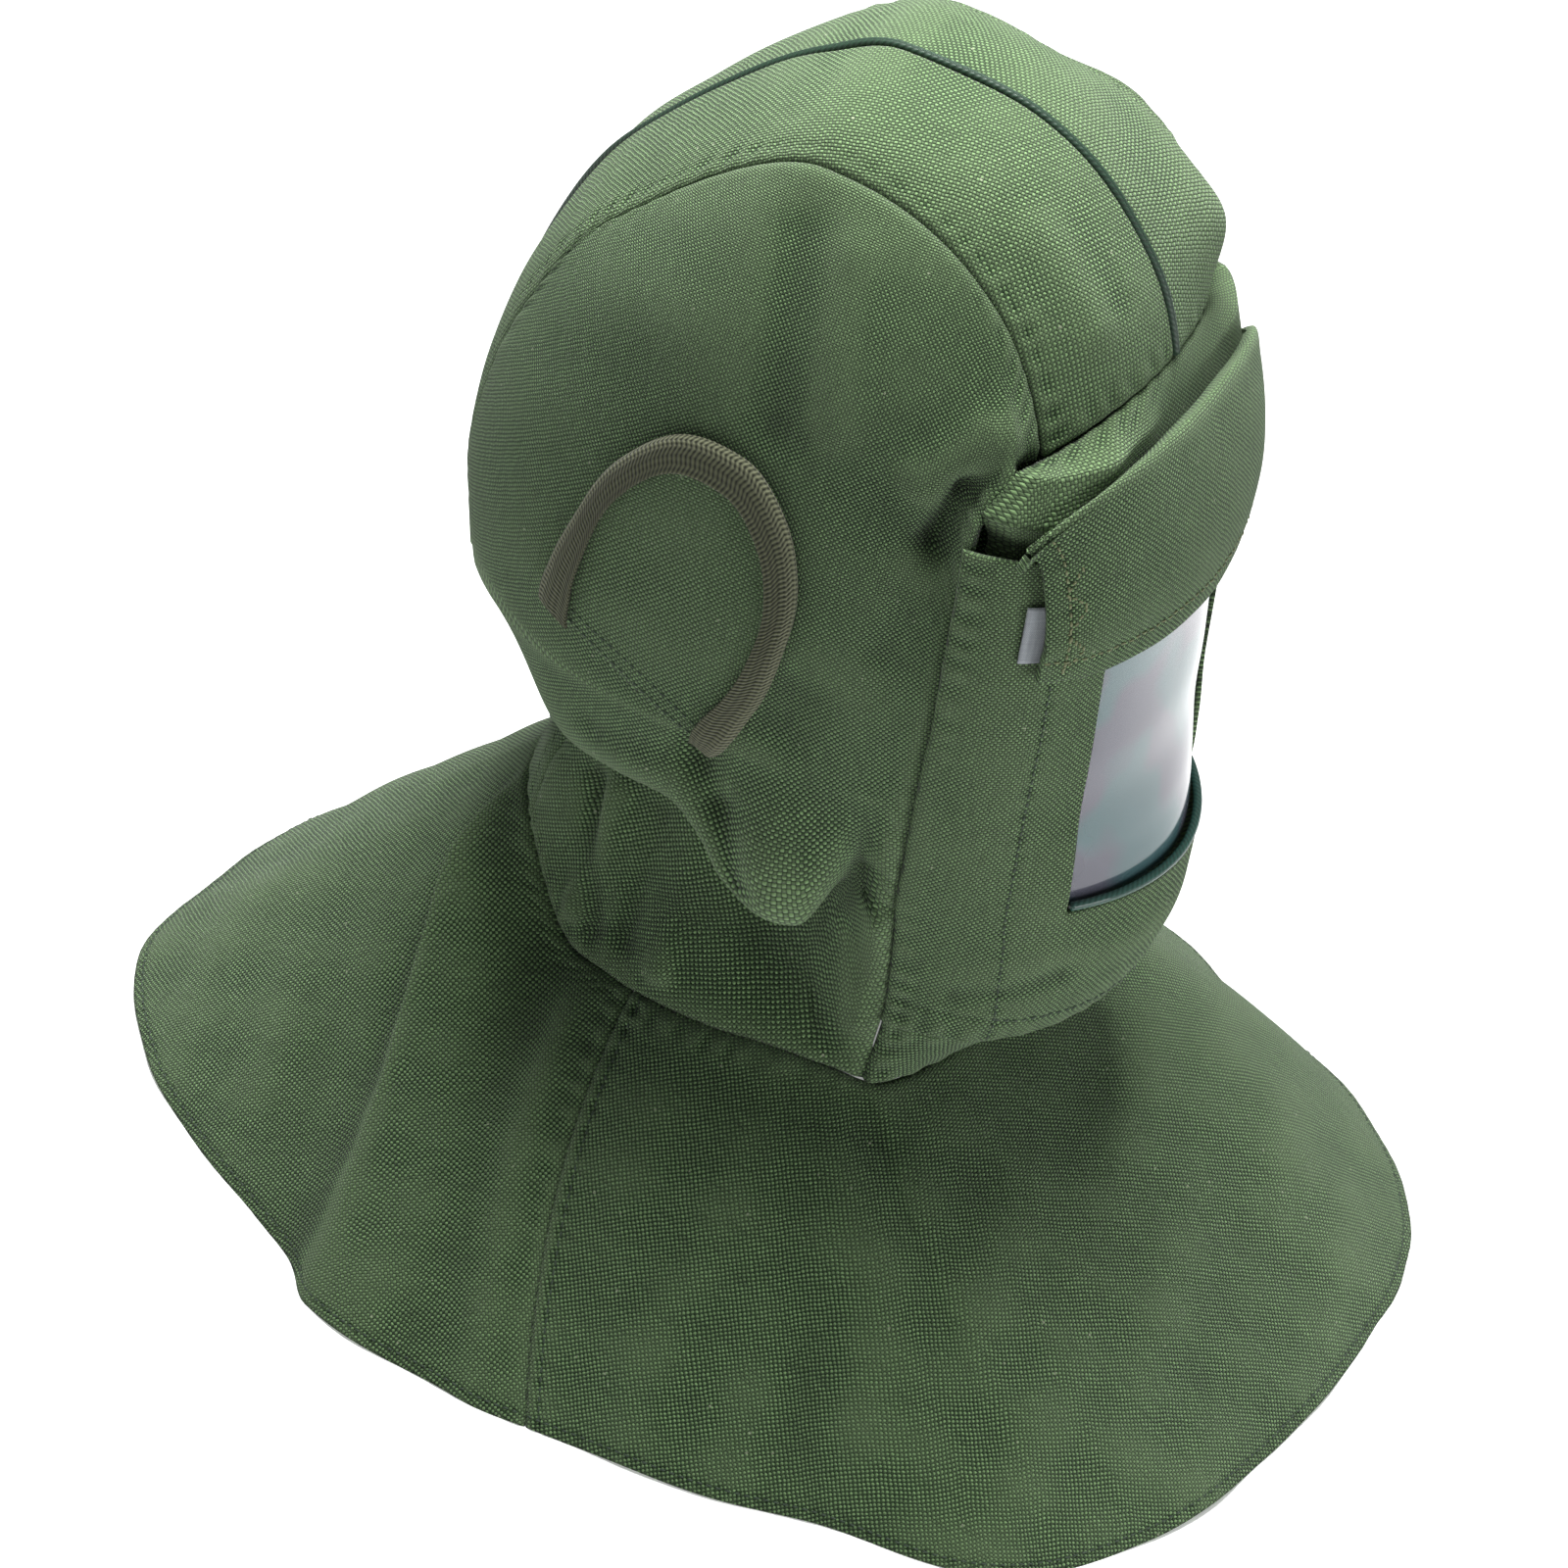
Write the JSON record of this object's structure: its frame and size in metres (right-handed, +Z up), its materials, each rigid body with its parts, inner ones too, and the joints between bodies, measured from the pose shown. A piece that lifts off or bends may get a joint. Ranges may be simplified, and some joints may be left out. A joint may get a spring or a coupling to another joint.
{
  "type": "sandblasting hood",
  "caption": "Canvas hood that covers head and neck, with a clear curved window, a brow flap over its top, ear flaps and a wide shoulder cape.",
  "frame": {"origin": "The highest point of the inside of the crown, where the hood rests on the head.", "axes": "+Z is up. The window faces -Y. The wearer's right side is towards -X."},
  "size_m": [0.3776, 0.4495, 0.4578],
  "materials": {
    "canvas": "matte plain-weave cotton canvas, dyed green",
    "piping_cord": "smooth dark green covered cord",
    "rim_cord": "glossy dark green",
    "binding_tape": "matte ribbed tape, olive brown",
    "clear_sheet": "clear flexible sheet, glossy",
    "label": "woven satin, pale grey, blank"
  },
  "bodies": {
    "root": {"crown_panel_right": "canvas", "crown_panel_left": "canvas", "crown_piping": "piping_cord", "front_panel": "canvas", "chin_gusset": "canvas", "brow_band": "canvas", "side_panel_right": "canvas", "side_panel_left": "canvas", "window_pane": "clear_sheet", "window_rim_cord": "rim_cord", "brow_flap": "canvas", "ear_flap_right": "canvas", "ear_binding_right": "binding_tape", "ear_flap_left": "canvas", "ear_binding_left": "binding_tape", "care_label": "label", "cape_front": "canvas", "cape_back": "canvas"}
  },
  "joints": []
}
